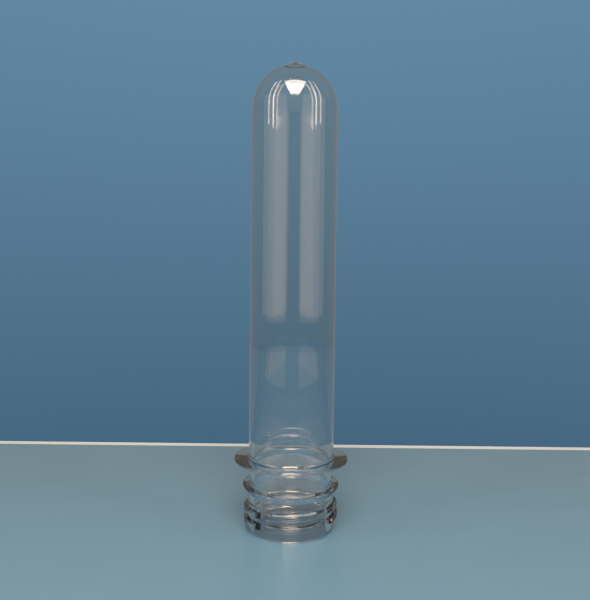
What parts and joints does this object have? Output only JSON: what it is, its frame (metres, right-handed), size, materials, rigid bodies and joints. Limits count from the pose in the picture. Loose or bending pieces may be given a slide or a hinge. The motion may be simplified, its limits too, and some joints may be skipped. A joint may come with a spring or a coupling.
{
  "type": "bottle preform",
  "caption": "Clear moulded blank for a blown bottle: a thick-walled tube with a round closed end, a support ring and a threaded neck with vent gaps.",
  "frame": {"origin": "centre of the lip's plane, where the preform stands on its open neck", "axes": "+Z along the preform's axis, from the lip to the closed round end"},
  "size_m": [0.033, 0.033, 0.1344],
  "materials": {
    "clear_plastic": "clear colourless PET, polished by the mould, with faint warm grey in the thick edges"
  },
  "bodies": {
    "root": {"preform": "clear_plastic"}
  },
  "joints": []
}
